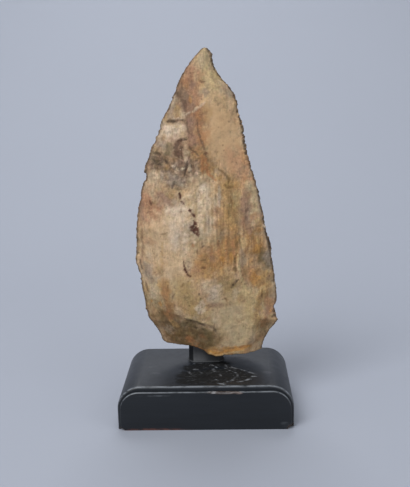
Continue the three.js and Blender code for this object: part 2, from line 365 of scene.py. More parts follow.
# %% Mix the pigments
STUDIO_TINT = np.array((0.93, 0.98, 1.05))
SEEN_COLOURS = {
    "chalk": (192, 176, 157),
    "bone": (186, 168, 143),
    "blush": (186, 162, 132),
    "peach": (188, 159, 124),
    "straw": (174, 156, 119),
    "tan": (174, 148, 118),
    "fawn": (168, 152, 123),
    "ash": (150, 136, 120),
    "slate": (128, 116, 104),
    "apricot": (176, 138, 108),
    "honey": (158, 128, 86),
    "orange": (166, 120, 60),
    "amber": (146, 113, 75),
    "olive": (148, 126, 88),
    "moss": (100, 88, 62),
    "clay": (154, 118, 93),
    "rust": (146, 104, 70),
    "mauve": (130, 104, 87),
    "bark": (118, 98, 82),
    "dusk": (86, 67, 39),
    "umber": (88, 68, 55),
    "crack": (60, 49, 41),
    "spot": (66, 34, 26),
}
PIGMENTS = {name: np.array(linear(*seen)) / STUDIO_TINT for name, seen in SEEN_COLOURS.items()}
print(len(PIGMENTS), "pigments")

# %% Make the brushes
SWAY_SHARE = 0.45
SWAY_LIMIT = 2.2
WASH_SWAY = 3
FINE_STROKE = 1.5
FRAY = 0.9


def reach(route, across, up):
    """Each point's distance from a route, and the share of the route where it comes nearest."""
    legs = list(zip(route, route[1:] or route))
    whole = sum(math.dist(start, end) for start, end in legs)
    nearest = np.full(len(across), np.inf)
    share = np.full(len(across), 0.5)
    done = 0.0
    for start, end in legs:
        step = np.subtract(end, start)
        length = math.dist(start, end)
        along = ((across - start[0]) * step[0] + (up - start[1]) * step[1]) / max(length, 0.001) ** 2
        along = np.clip(along, 0, 1)
        away = np.hypot(across - start[0] - along * step[0], up - start[1] - along * step[1])
        if whole > 0:
            share = np.where(away < nearest, (done + along * length) / whole, share)
        nearest = np.minimum(nearest, away)
        done += length
    return nearest, share


def distance(route, across, up):
    """Each point's distance from a route alone."""
    return reach(route, across, up)[0]


def brush(route, width, face):
    """How well a stroke of this half width covers each point of a face, from 0 to 1."""
    sway = min(SWAY_SHARE * width, SWAY_LIMIT)
    away, share = reach(route, x + sway * wander_x, z + sway * wander_z)
    breadth = width * (1.1 - 0.5 * (2 * share - 1) ** 2)
    tooth = blotch if width > FINE_STROKE else crumb
    fill = (breadth * (1 + FRAY * tooth) - away) / (0.8 * width + 0.25)
    return ease(0.5 + fill) * ease(1.1 + FRAY * crumb) * face


def wash(route, width, face):
    """A broad stroke that drifts with the grain and fades out softly all round."""
    away = distance(route, x + WASH_SWAY * wander_x, z + WASH_SWAY * wander_z)
    return ease(0.5 + (width * (1 + 0.6 * blotch) - away) / (1.8 * width)) * face


patina = np.tile(PIGMENTS["tan"], (len(points), 1))
relief = np.zeros(len(points))


def stain(cover, pigment, strength):
    patina[:] += (strength * cover)[:, None] * (PIGMENTS[pigment] - patina)


def tint(zones, face):
    """Washes the named zones of a face, each with its pigment, strength, half width and route."""
    for pigment, strength, width, route in zones.values():
        stain(wash(route, width, face), pigment, strength)
    print(len(zones), "zones")


def paint(stains):
    """Lays flat stains on the front, each with its pigment, strength, half width and routes."""
    for pigment, strength, width, *routes in stains:
        for route in routes:
            stain(brush(route, width, front), pigment, strength)
    print(len(stains), "kinds of stain")


def score(marks, face):
    """Draws marks that also sink or stand by a rise, each with a rise before its routes."""
    for pigment, strength, width, rise, *routes in marks:
        for route in routes:
            cover = brush(route, width, face)
            stain(cover, pigment, strength)
            relief[:] += rise * cover
    print(len(marks), "kinds of mark")


# %% [markdown]
# ## Stains
# The colour of the stone follows its history: pale skin in the middle, pink and rust in the upper
# left scars, tan on the clean scar along the right edge, ochre where iron has run, and dark brown
# on the facet that turns down to the butt, where the brown is partly painted shade because the facet
# faces down. Clouds that run all round the stone come first, then broad zones placed in whole
# millimetres, then the smaller stains that stand out in them.

# %% Stain the whole stone
CLOUDS = [
    ("honey", 0.4, 0.5 + 1.5 * cloud),
    ("bone", 0.5, 0.3 - 1.8 * drift),
    ("clay", 0.6, 1.6 * grain(points, 18, start=41)),
    ("olive", 0.6, 1.8 * grain(points, 16, start=47) - 0.2),
]
for pigment, strength, cover in CLOUDS:
    stain(ease(cover), pigment, strength)
print(len(CLOUDS), "clouds")

# %% Wash the front in broad zones
FRONT_ZONES = {
    "point of the tip": ("fawn", 0.9, 5, [(4, 230), (4, 218)]),
    "left scar of the tip": ("clay", 0.9, 6, [(-7, 217), (-5, 206), (-3, 195)]),
    "right scar of the tip": ("straw", 0.8, 6, [(7, 216), (13, 197)]),
    "grey edge right of the tip": ("ash", 0.8, 3, [(16, 210), (20, 203)]),
    "grey edge left of the tip": ("ash", 0.8, 3, [(-17, 203), (-19, 193)]),
    "dark hollow left of the tip": ("bark", 0.8, 4, [(-13, 206), (-10, 198)]),
    "clean scar": ("peach", 0.95, 10, [(10, 195), (13, 180), (17, 166)]),
    "foot of the clean scar": ("apricot", 0.8, 6, [(20, 165), (26, 151)]),
    "pale shoulder": ("chalk", 0.85, 5, [(-23, 183), (-15, 181)]),
    "grey shoulder": ("ash", 0.8, 4, [(-26, 175), (-21, 170)]),
    "brown fold": ("mauve", 0.95, 4, [(-8, 196), (-6, 184), (-6, 172)]),
    "rusty run": ("rust", 0.65, 4, [(0, 192), (0, 176)]),
    "golden foot of the run": ("amber", 0.95, 5, [(-2, 168), (4, 157)]),
    "hooked hollow": ("mauve", 0.85, 4, [(-14, 175), (-12, 165)]),
    # The craggy hollow is dark partly from its own colour and partly as painted shade in its rough pits.
    "craggy hollow": ("bark", 1, 7, [(-30, 162), (-20, 159), (-8, 158)]),
    "grey below the hollow": ("slate", 0.8, 4, [(-20, 153), (-14, 151)]),
    "pale left edge": ("bone", 0.8, 5, [(-34, 152), (-32, 142)]),
    "clay patch": ("clay", 0.95, 7, [(-37, 139), (-31, 133), (-34, 126)]),
    "corner of the clay patch": ("mauve", 0.85, 4, [(-25, 141), (-20, 136)]),
    "left flank": ("blush", 0.8, 7, [(-34, 120), (-28, 116)]),
    "pale left flank": ("blush", 0.9, 8, [(-34, 104), (-20, 124), (-20, 98)]),
    "middle skin": ("bone", 0.9, 8, [(1, 146), (0, 136), (-2, 122)]),
    "cream left of the spots": ("chalk", 0.8, 6, [(-17, 133), (-15, 112)]),
    "yellow streaks": ("honey", 0.85, 6, [(17, 147), (18, 134), (17, 122)]),
    "brown streak by the edge": ("mauve", 0.7, 3, [(27, 138), (27, 123)]),
    "pale right edge": ("fawn", 0.85, 3, [(32, 147), (34, 131)]),
    "amber patch": ("amber", 1, 9, [(4, 99), (10, 101), (18, 111)]),
    "amber right flank": ("amber", 0.95, 5, [(32, 117), (34, 104)]),
    "mossy right edge": ("moss", 0.8, 4, [(38, 101), (42, 95)]),
    "orange right edge": ("amber", 0.85, 4, [(32, 90), (34, 84)]),
    "yellow right edge": ("honey", 0.85, 4, [(39, 88), (39, 72)]),
    "grey left edge": ("ash", 0.8, 3, [(-37, 95), (-36, 85)]),
    "low left flank": ("fawn", 0.8, 5, [(-32, 83), (-18, 82), (-31, 74)]),
    "rusty left streak": ("amber", 0.8, 3, [(-25, 86), (-23, 66)]),
    "olive facet": ("olive", 0.9, 6, [(-12, 83), (-7, 69)]),
    "pink-grey bruise": ("bone", 0.7, 4, [(2, 83), (8, 79)]),
    "dull bruise": ("olive", 0.8, 5, [(15, 87), (19, 76)]),
    "low right flank": ("straw", 0.8, 5, [(28, 77), (30, 68), (28, 55)]),
    "pale foot": ("fawn", 0.95, 9, [(14, 65), (17, 54), (21, 46)]),
    # Partly painted shade: these three facets turn down, and their dark brown is partly the shade they lie
    # in.
    "brown butt facet": ("dusk", 0.85, 8, [(-27, 61), (-14, 54), (2, 48)]),
    "brown butt edge": ("dusk", 0.85, 5, [(-22, 47), (-10, 42), (0, 39)]),
    "brown right corner": ("dusk", 0.5, 2.5, [(41, 59), (37, 47)]),
    "amber foot": ("amber", 0.9, 2, [(3, 40), (9, 38), (28, 41)]),
}
tint(FRONT_ZONES, front)

# %% Wash the back in broad zones
BACK_ZONES = {
    "pale scar": ("bone", 0.6, 12, [(-6, 200), (-16, 165)]),
    "ochre scar": ("honey", 0.6, 9, [(8, 205), (18, 168)]),
    "brown hollow": ("bark", 0.5, 8, [(-24, 140), (-6, 126)]),
    "grey skin": ("ash", 0.6, 12, [(18, 142), (24, 108)]),
    "rusty patch": ("rust", 0.4, 8, [(-28, 98), (-14, 84)]),
    "dull flank": ("olive", 0.6, 11, [(2, 78), (24, 66)]),
    "brown foot": ("dusk", 0.5, 6, [(-22, 48), (4, 42), (26, 48)]),
}
tint(BACK_ZONES, back)

# %% [markdown]
# ## Scars on the back
# The back was flaked from its edges too. Each blow left a shallow scoop, and two scoops meet in a
# ridge, which is stained pale as a painted highlight. A scoop is deepest along a short route in from
# the edge and rises as a bowl does. At each point the deepest scoop counts, so each ridge comes by
# itself, where the two deepest are equal. The scoops fade out at the rim, so that the outline stays
# as it is. Each scar below has its half width and its route.

# %% Flake the back
SCAR_DEPTH = 2.0
SCAR_STRENGTH = 0.35
RIDGE_HIGHLIGHT_STRENGTH = 0.45
RIM_FADE = 6
SCAR_PIGMENTS = ("bone", "honey", "ash")
BACK_SCARS = [
    (14, [(-10, 204), (-3, 197)]),
    (13, [(17, 202), (9, 192)]),
    (17, [(-23, 174), (-10, 168)]),
    (16, [(26, 172), (15, 165)]),
    (19, [(-35, 140), (-18, 140)]),
    (18, [(34, 140), (20, 134)]),
    (17, [(-40, 106), (-24, 110)]),
    (17, [(42, 108), (27, 104)]),
    (20, [(-37, 74), (-20, 80)]),
    (18, [(42, 74), (26, 76)]),
    (15, [(-18, 44), (-12, 54)]),
    (15, [(18, 42), (14, 52)]),
    (15, [(0, 110), (2, 98)]),
]

behind = ease(2 * facing[:, 1] - 0.4)
from_edge = np.minimum(from_left, from_right)
deepest = np.zeros(len(points))
second = np.zeros(len(points))
owner = np.zeros(len(points), dtype=int)
for number, (half_width, route) in enumerate(BACK_SCARS):
    away = distance(route, x + wander_x, z + wander_z)
    scoop = np.clip(1 - (away / half_width) ** 2, 0, 1)
    owner[scoop > deepest] = number
    second = np.maximum(second, np.minimum(deepest, scoop))
    deepest = np.maximum(deepest, scoop)
for number, pigment in enumerate(SCAR_PIGMENTS):
    mine = owner % len(SCAR_PIGMENTS) == number
    stain(mine * behind * ease(2 * deepest), pigment, SCAR_STRENGTH)
# Painted highlight: where two scoops meet, the ridge is stained pale with chalk.
ridge_highlights = ease(1.2 - 8 * (deepest - second)) * ease(5 * second + 0.5 * blotch)
stain(ridge_highlights * behind, "chalk", RIDGE_HIGHLIGHT_STRENGTH)
relief -= SCAR_DEPTH * deepest * behind * ease(0.2 + from_edge / RIM_FADE)
print(len(BACK_SCARS), "scars on the back, ridges on", int((ridge_highlights * behind > 0.5).sum()), "points")

# %% Stain the tip
TIP_STAINS = [
    ("rust", 0.45, 2.5, [(-9, 213), (-8.5, 208.5)]),
    ("mauve", 0.6, 2, [(-5.5, 211.5), (-5, 208.5)]),
    ("slate", 0.65, 2, [(3.5, 207), (3.5, 204.5)]),
    ("orange", 0.4, 1, [(-7, 203), (-6.5, 199.5)]),
    ("bone", 0.5, 2, [(-17, 204), (-19, 199.5), (-19.5, 195)]),
    ("olive", 0.6, 2, [(-15, 197.5), (-14, 192.5)]),
    ("bone", 0.5, 2, [(-12.5, 194.5), (-11.5, 191)]),
    ("rust", 0.45, 2, [(-2, 194), (-1, 186), (1.5, 178)]),
]
paint(TIP_STAINS)

# %% Stain the clean scar
CLEAN_SCAR_STAINS = [
    ("honey", 0.4, 2.5, [(4, 197.5), (4, 186)]),
    ("rust", 0.3, 2, [(26.5, 167), (27.5, 159.5), (27.5, 151)]),
    ("mauve", 0.5, 2, [(26.5, 144), (26.5, 126)]),
    ("honey", 0.6, 1.5, [(7, 162.5), (8, 159.5), (6.5, 155)]),
    ("straw", 0.5, 1, [(1.5, 156), (5, 153.5)]),
    ("honey", 0.65, 1.5, [(8, 154), (12.5, 152.5)]),
]
paint(CLEAN_SCAR_STAINS)

# %% Stain the left shoulder
SHOULDER_STAINS = [
    ("straw", 0.5, 1, [(-16, 186.5), (-13.5, 184), (-11, 180.5)]),
    ("mauve", 0.75, 2.3, [(-6.5, 189.5), (-6, 181.5), (-5.5, 174)]),
    ("moss", 0.65, 2.5, [(-20.5, 174.5), (-21.5, 168.5)]),
    ("bone", 0.5, 2.2, [(-10.5, 173), (-10, 165)]),
    ("moss", 0.85, 2.8, [(-29, 164.5), (-26.5, 162), (-23.5, 159.5)]),
    ("honey", 0.35, 2.2, [(-24, 161.5), (-20, 158.5)]),
    ("chalk", 0.35, 1.8, [(-17, 161.5), (-16.5, 158)]),
    ("chalk", 0.45, 1.4, [(-7.5, 161.5), (-7, 158)]),
    ("slate", 0.75, 2, [(-18.5, 154), (-18, 151)]),
    ("clay", 0.6, 1.5, [(-38, 139), (-38, 131.5), (-37, 126)]),
    ("mauve", 0.65, 2.5, [(-24.5, 140.5), (-21, 138)]),
    ("slate", 0.45, 2, [(-17.5, 142.5), (-17, 136.5)]),
]
paint(SHOULDER_STAINS)

# %% Stain the left flank
LEFT_FLANK_STAINS = [
    ("clay", 0.5, 2, [(-39, 114), (-35, 112), (-31.5, 112)]),
    ("bone", 0.5, 2.2, [(-37.5, 102), (-34, 103)]),
    ("honey", 0.5, 1, [(-26.5, 112.5), (-27, 104), (-27, 95)]),
    ("slate", 0.4, 2.5, [(-37.5, 95), (-36.5, 90), (-35, 85.5)]),
    ("bone", 0.5, 2, [(-34.5, 82.5), (-33.5, 75.5)]),
    ("rust", 0.45, 1.8, [(-25.5, 83), (-25, 75.5)]),
    ("honey", 0.55, 1.3, [(-29.5, 87), (-28, 80.5)]),
    ("orange", 0.6, 1, [(-35, 73), (-35, 71.5)], [(-29, 73), (-29, 70)]),
]
paint(LEFT_FLANK_STAINS)

# %% Streak the middle
STREAK_STRENGTH = 0.5
STREAK_WIDTH = 0.9
STREAKS = [
    ("ash", -9, 125, 115),
    ("olive", -4.5, 146, 126),
    ("chalk", -2, 142, 126),
    ("olive", 1, 132, 120),
    ("ash", 3, 146, 124),
    ("rust", 5, 110, 101),
    ("olive", 6, 149, 130),
    ("rust", 9.5, 114, 104),
    ("chalk", 10.5, 148, 135),
    ("honey", 13, 114, 104),
    ("olive", 14, 146, 132),
    ("rust", 14.5, 113, 103),
    ("honey", 16, 146, 127),
    ("rust", 19, 114, 104),
    ("olive", 20, 142, 131),
    ("olive", 35, 116, 104),
    ("honey", 37, 114, 106),
]
paint([(dye, STREAK_STRENGTH, STREAK_WIDTH, [(at, top), (at, foot)]) for dye, at, top, foot in STREAKS])

# %% Stain the middle
MIDDLE_STAINS = [
    ("chalk", 0.5, 2.5, [(-0.5, 149), (-2, 143)]),
    ("chalk", 0.5, 2.8, [(-14, 132), (-10.5, 129)]),
    ("mauve", 0.45, 1.6, [(7, 133.5), (9, 131.5)]),
    ("straw", 0.5, 2.5, [(21, 143.5), (21.5, 136)]),
    ("orange", 0.55, 1, [(17.5, 105.5), (17.5, 100.5)]),
    ("orange", 0.5, 1.6, [(11, 103), (12, 100.5)]),
    ("mauve", 0.5, 2, [(4.5, 103.5), (6.5, 101)]),
    ("honey", 0.5, 2, [(1, 94), (5, 90.5)]),
    ("straw", 0.5, 2, [(25, 114), (25.5, 108)]),
    ("ash", 0.5, 2.2, [(24.5, 106.5), (24, 96.5)]),
]
paint(MIDDLE_STAINS)

# %% Stain the right flank
RIGHT_FLANK_STAINS = [
    ("rust", 0.6, 2, [(33, 129), (31, 125.5)]),
    ("mauve", 0.7, 2.5, [(27.5, 127), (30, 118)]),
    ("olive", 0.5, 1.6, [(35, 125.5), (36.5, 121)]),
    ("orange", 0.45, 2, [(33, 108), (35, 104)]),
    ("slate", 0.6, 2.2, [(40.5, 103.5), (41, 95)]),
    ("umber", 0.5, 1.3, [(41.5, 89), (41.5, 85)]),
    ("orange", 0.45, 2.2, [(32.5, 89.5), (32.5, 85)]),
    ("straw", 0.5, 2, [(37, 81.5), (38.5, 78.5)]),
    ("clay", 0.55, 2, [(41, 75.5), (40.5, 65.5)]),
    ("honey", 0.65, 1.8, [(36, 78), (34, 68), (34, 54)]),
]
paint(RIGHT_FLANK_STAINS)

# %% Stain the butt
BUTT_STAINS = [
    ("chalk", 0.65, 2.5, [(-2, 74), (-3, 67.5)]),
    ("chalk", 0.45, 2.5, [(10, 84), (3, 77)]),
    ("ash", 0.5, 2.5, [(4.5, 79.5), (4, 75)]),
    ("mauve", 0.6, 1.6, [(2.5, 71), (12, 71)]),
    ("bone", 0.45, 2, [(20, 81.5), (19.5, 75)]),
    ("bone", 0.5, 2, [(8, 64.5), (8.5, 57.5)]),
    ("moss", 0.55, 2.5, [(-14.5, 59.5), (-7, 57.5)]),
    ("rust", 0.65, 2, [(-11.5, 49.5), (-9, 46)]),
    ("ash", 0.5, 2.5, [(-25, 56.5), (-23.5, 51.5)]),
    ("rust", 0.45, 1.6, [(-3.5, 50), (0.5, 48)]),
    ("moss", 0.5, 2, [(-1.5, 46), (3, 46)]),
    ("rust", 0.45, 1.8, [(-25, 71.5), (-22, 61.5)]),
    ("rust", 0.5, 2, [(39.5, 60.5), (37, 54.5)]),
    ("honey", 0.6, 2, [(2.5, 40.5), (12, 40)]),
    ("orange", 0.6, 1.5, [(2, 39.5), (7, 37), (16.5, 40), (28, 41.5)]),
    ("rust", 0.7, 1, [(-8.5, 43.5), (-3.5, 40.5), (0, 39.5)]),
]
paint(BUTT_STAINS)

# %% [markdown]
# ## Marks
# Cracks, dark spots and thin ridges come last, over the stains. Each one also sinks into the skin or
# stands up from it by a few tenths of a millimetre, so that it catches the light as a real one does.
# The dark of the cracks is partly painted shade, and the pale of the thin ridges partly a painted
# highlight, beyond what that small sinking and rising casts.

# %% Mark the tip
TIP_MARKS = [
    ("umber", 0.5, 0.5, -0.2, [(-11, 213), (-12, 209.5), (-10.5, 207)]),
    ("umber", 0.7, 0.5, -0.2, [(-0.5, 213), (1, 212), (3, 212)]),
    ("umber", 0.7, 1.6, -0.2, [(-15, 205.5), (-12.5, 203.5)], [(-11.5, 201), (-9.5, 197.5)]),
    ("umber", 0.5, 1, -0.1, [(-10, 196.5), (-9, 191)]),
    ("chalk", 0.5, 0.7, 0.35, [(-9.5, 192.5), (-3, 195.5), (3, 200)]),
    ("umber", 0.7, 0.7, -0.1, [(-4, 192)]),
]
score(TIP_MARKS, front)

# %% Crack the left shoulder
SHOULDER_MARKS = [
    ("chalk", 0.5, 2, 0.3, [(-22.5, 182.5), (-17.5, 184), (-12.5, 182.5)]),
    ("bark", 0.5, 2, -0.3, [(-21, 187.5), (-16, 188.5), (-11.5, 188)]),
    ("chalk", 0.45, 0.6, 0.35, [(-18.5, 189.5), (-12, 190)]),
    ("crack", 0.8, 0.8, -0.5, [(-21.5, 188), (-19, 188.5), (-16, 188)]),
    ("umber", 0.5, 0.5, -0.3, [(-16.5, 188), (-14, 189), (-11.5, 189)]),
    ("umber", 0.65, 1.3, -0.3, [(-11, 189), (-9, 187)]),
    ("umber", 0.6, 0.6, -0.2, [(-9.5, 186), (-8.5, 182.5), (-7.5, 180.5)]),
    ("umber", 0.8, 0.6, -0.25, [(-2.5, 189), (-2, 183), (-0.5, 178), (1, 174), (2, 171)]),
    ("spot", 0.7, 1, -0.1, [(2.5, 169.5), (3, 167.5)]),
    ("crack", 0.85, 0.8, -0.5, [(-15, 175.5), (-12, 177.5), (-9.5, 177)]),
    ("umber", 0.9, 1.5, -0.4, [(-13, 176.5), (-15.5, 174), (-16, 170), (-15, 166)]),
    ("umber", 0.8, 0.7, -0.3, [(-12.5, 174), (-13, 171), (-12.5, 167), (-11.5, 164.5)]),
    ("crack", 0.75, 0.6, -0.3, [(-7.5, 173), (-6, 171), (-3, 169), (-2, 167.5)]),
    ("umber", 0.65, 0.5, -0.25, [(-7.5, 167.5), (-8.5, 164.5)]),
    ("crack", 0.85, 0.8, -0.4, [(-9, 164), (-9.5, 160.5), (-10.5, 158), (-11, 155)]),
    ("bark", 0.7, 2.5, 0.2, [(-28.5, 166), (-24, 165)], [(-29, 162.5), (-24, 161)]),
    ("crack", 0.7, 0.8, -0.3, [(-30.5, 168.5), (-28, 168.5), (-26, 167.5)]),
    ("crack", 0.7, 0.7, -0.3, [(-31, 164.5), (-28, 162), (-25.5, 161)]),
    ("crack", 0.65, 0.7, -0.3, [(-23.5, 164), (-21.5, 162)], [(-16.5, 161), (-14, 158.5)]),
    ("crack", 0.6, 0.6, -0.3, [(-7, 162.5), (-6, 159.5)]),
    ("chalk", 0.5, 0.8, 0.3, [(-18.5, 160.5), (-16.5, 159.5)], [(-13, 158.5), (-11, 159.5)]),
    ("crack", 0.7, 0.7, -0.3, [(-17.5, 151.5), (-18, 149), (-19, 147)]),
    ("dusk", 0.5, 1, -0.1, [(-22.5, 148.5), (-20, 148.5)]),
    ("dusk", 0.5, 1.3, -0.1, [(-16, 147), (-12.5, 146.5)]),
]
score(SHOULDER_MARKS, front)

# %% Mark the clean scar
CLEAN_SCAR_MARKS = [
    ("rust", 0.8, 1, -0.1, [(0.5, 167.5), (0.5, 156)]),
    ("rust", 0.85, 1, -0.15, [(2.5, 167), (3, 159.5), (4, 156), (6, 153.5), (8.5, 151.5)]),
    ("umber", 0.5, 0.5, 0, [(13.5, 170)]),
    ("dusk", 0.6, 0.7, -0.35, [(10.5, 158.5), (12.5, 156.5), (15, 154.5), (17, 151.5), (16.5, 149)]),
    ("dusk", 0.6, 0.9, -0.2, [(14, 148.5), (16, 147), (19, 146.5)]),
    ("umber", 0.65, 0.8, -0.1, [(28, 132), (27.5, 130.5)]),
    ("umber", 0.35, 0.5, -0.2, [(26, 119), (33, 120.5), (37, 120.5)]),
]
score(CLEAN_SCAR_MARKS, front)

# %% Mark the left flank
LEFT_FLANK_MARKS = [
    ("spot", 0.7, 0.5, -0.2, [(-34.5, 139), (-33.5, 136.5), (-33, 135.5)]),
    ("umber", 0.6, 0.5, -0.15, [(-32, 138), (-33.5, 136)]),
    ("umber", 0.5, 0.5, -0.2, [(-36, 134), (-34, 133.5), (-32.5, 134)]),
    ("umber", 0.55, 0.5, -0.2, [(-36, 130.5), (-35, 131.5), (-33, 131.5)]),
    ("dusk", 0.5, 0.5, -0.1, [(-27.5, 117.5), (-25, 118), (-23, 119)]),
    ("dusk", 0.5, 0.5, 0, [(-23.5, 84.5), (-24, 80.5)]),
    ("umber", 0.7, 0.5, -0.1, [(-19, 84.5), (-19.5, 83)]),
    ("dusk", 0.6, 0.7, -0.1, [(-13.5, 86.5), (-14.5, 84.5)]),
    ("umber", 0.6, 0.5, -0.1, [(-19, 79.5), (-20.5, 77.5), (-21, 74.5)]),
]
score(LEFT_FLANK_MARKS, front)

# %% Drop the dark spots
DARK_SPOTS = [
    (0.95, 0.9, -0.1, [(-14.5, 143.5), (-14, 140.5)], [(-13.5, 138.5), (-12, 137)]),
    (0.95, 0.9, -0.1, [(-8, 134), (-7.5, 132.5)], [(-6.5, 131), (-5, 129)]),
    (0.95, 1, -0.1, [(-5.5, 127), (-4.5, 125.5), (-3.5, 124)], [(-8, 124), (-6.5, 122)]),
    (0.95, 1.2, -0.15, [(-5.5, 124), (-3, 120)]),
    (0.95, 1, -0.1, [(-7.5, 121), (-5, 119)], [(-4, 119), (-3, 117)]),
    (0.8, 0.5, -0.1, [(-13, 101), (-12.5, 98), (-12, 95), (-9.5, 91.5)]),
    (0.9, 0.8, -0.1, [(-12.5, 97), (-11, 93.5)]),
    (0.95, 0.9, -0.15, [(-9.5, 91.5)]),
]
score([("spot", *spot) for spot in DARK_SPOTS], front)

# %% Mark the middle
MIDDLE_MARKS = [
    ("crack", 0.7, 0.6, -0.15, [(-1, 112.5), (0, 111), (-1, 109.5)]),
    ("umber", 0.65, 0.7, -0.1, [(-4, 107.5), (-4, 106)]),
    ("rust", 0.7, 1, 0, [(-7, 112), (-6.5, 110)]),
    ("dusk", 0.65, 0.7, 0, [(-1.5, 101.5), (1, 101.5)]),
    ("spot", 0.65, 0.9, -0.1, [(0, 96.5)]),
    ("dusk", 0.5, 0.7, 0, [(5.5, 90.5)]),
    ("dusk", 0.5, 0.5, -0.1, [(8.5, 142.5), (8.5, 135.5)]),
    ("dusk", 0.5, 0.8, 0, [(18, 144), (18, 134)]),
    ("moss", 0.5, 1, 0, [(17.5, 137), (17, 128.5)], [(20.5, 126), (21.5, 123.5)]),
    ("dusk", 0.5, 0.7, 0, [(21, 112.5), (21.5, 108)]),
    ("dusk", 0.7, 0.6, -0.35, [(21.5, 105), (20, 102), (20, 99), (20.5, 94.5)]),
    ("dusk", 0.7, 1, -0.2, [(18, 95), (20.5, 94)]),
    ("straw", 0.65, 0.8, 0.5, [(21.5, 104), (22, 96), (24, 87), (28, 79), (33, 72)]),
    ("crack", 0.75, 0.7, -0.5, [(22, 88), (20, 86), (18.5, 84.5), (17.5, 82.5)]),
]
score(MIDDLE_MARKS, front)

# %% Mark the butt
BUTT_MARKS = [
    ("crack", 0.7, 0.6, -0.1, [(-3, 80), (-3.5, 79)], [(-2.5, 77), (-2.5, 75.5)]),
    ("moss", 0.5, 1, 0, [(-12.5, 78.5), (-12, 76.5)]),
    ("dusk", 0.6, 0.6, -0.1, [(13, 75.5), (14.5, 74)]),
    ("dusk", 0.55, 0.6, -0.1, [(37, 79.5), (37, 73.5)]),
    ("umber", 0.25, 1, -0.35, [(-20.5, 64.5), (-12, 61.5), (-3.5, 58.5), (5.5, 55)]),
    ("straw", 0.55, 0.6, 0.35, [(-14, 64), (-9.5, 63), (-4, 61), (0, 60), (5, 57.5)]),
    ("crack", 0.65, 0.5, -0.3, [(-3.5, 59), (0, 57.5)]),
    ("crack", 0.75, 0.8, -0.4, [(5.5, 56), (7, 53)]),
    ("crack", 0.6, 0.6, -0.2, [(-12, 59.5)], [(-6.5, 56), (-5.5, 55.5)]),
    ("crack", 0.6, 0.7, -0.2, [(-1.5, 54.5)]),
    ("moss", 0.6, 2, 0, [(-1.5, 54.5), (4, 47)]),
    ("honey", 0.5, 1.6, 0, [(-21.5, 60.5), (-17.5, 56.5)]),
    ("olive", 0.5, 1.3, 0, [(-12.5, 52.5), (-8, 51)]),
    ("rust", 0.5, 1.6, 0, [(-12.5, 48.5), (-6, 44.5)]),
    ("umber", 0.55, 0.6, -0.1, [(-25, 46), (-17.5, 44.5), (-10, 42), (-3.5, 39.5)]),
    ("rust", 0.6, 0.6, -0.1, [(4, 40.5), (10.5, 40)]),
    ("umber", 0.5, 0.5, -0.1, [(14, 40.5), (19, 41)]),
    ("rust", 0.6, 0.6, -0.1, [(21.5, 41), (27.5, 42.5)]),
    ("straw", 0.6, 0.5, 0.1, [(2.5, 38), (7.5, 36), (16.5, 38), (25, 39)]),
    ("orange", 0.5, 0.7, 0.2, [(42.5, 64)]),
]
score(BUTT_MARKS, front)

# %% Darken the rim
ALL_ROUND = 1.0
RIM_MARKS = [
    ("crack", 0.6, 0.8, -0.1, [(-35.5, 159.5), (-35.5, 153.5), (-36, 152)]),
    ("crack", 0.55, 0.8, -0.1, [(-37.5, 149.5), (-38, 147)]),
    ("mauve", 0.6, 1.3, -0.1, [(-39.5, 141), (-40, 132), (-40, 123.5)]),
    ("umber", 0.5, 0.6, -0.15, [(-39.5, 120.5), (-40, 112.5), (-39.5, 109.5), (-40.5, 100.5)]),
    ("crack", 0.65, 0.6, 0, [(-42, 99.5), (-41.5, 96.5), (-40.5, 93.5)]),
    ("crack", 0.6, 0.6, -0.2, [(-38.5, 84.5), (-37, 78.5)]),
    ("crack", 0.65, 0.8, -0.2, [(17.5, 209.5), (20.5, 206)]),
    ("crack", 0.6, 0.6, -0.2, [(39, 118.5), (40.5, 118)]),
    ("slate", 0.7, 1.6, 0, [(39.5, 116), (42, 108), (42.5, 100.5), (43, 92.5)]),
    ("slate", 0.5, 1, 0, [(34.5, 144.5), (36, 136), (37.5, 123.5)]),
    ("crack", 0.7, 0.6, -0.2, [(40, 116), (42, 109.5), (42.5, 104)]),
    ("crack", 0.5, 0.6, -0.2, [(43.5, 84.5), (46, 83.5)]),
    ("umber", 0.7, 0.6, 0, [(44, 64), (46, 62.5)]),
    # On the spur, the straw line is a painted highlight and the crack line under it painted shade.
    ("straw", 0.6, 0.5, 0, [(42, 61.5), (45, 61.5)]),
    ("crack", 0.7, 0.6, -0.2, [(43.5, 60), (45.5, 61)]),
]
score(RIM_MARKS, ALL_ROUND)

# %% [markdown]
# ## The worked edge and the skin
# Along the right edge small flakes were pressed off one after another, which leaves a row of nibbles
# whose hollows are sunk and stained dark as painted shade. The rim all round, where the stone turns
# edge-on, is stained dark as painted shade too, and one pale spot on the right rim is a painted glint.
# The clean scar is smoother than the old skin, so how rough the skin is gets kept for each point, and
# the colour is broken up only as much as that. Lumps and nicks of the outline, each with its rise, half
# width and route, come last.

# %% Nibble the worked edge
NIBBLE_PITCH = 2.6
NIBBLE_DEPTH = 0.35
NIBBLE_REACH = 1.2
WORKED_FROM = 84
GREY_BELOW = 165
GREY_REACH = 2.2
HOLLOW_REACH = 1.4
RIM_REACH = 1.3
# A painted glint: one pale chalk spot, a little raised, on the right rim.
RIM_GLINT = ("chalk", 0.95, 0.8, 0.2, [(38.5, 121), (39.5, 119.5)])

worked = ease((z - WORKED_FROM) / 8)
nibble = np.sin(2 * math.pi * (z + 4 * wander_z) / NIBBLE_PITCH)
hollow = ease(0.4 + 0.9 * nibble + 0.9 * crumb)
relief -= NIBBLE_DEPTH * hollow * worked * ease(1.4 - from_right / NIBBLE_REACH)
greyed = worked * ease((GREY_BELOW - z) / 20) * ease(1.3 - from_right / GREY_REACH)
stain(greyed * ease(0.5 + 1.5 * blotch), "slate", 0.6)
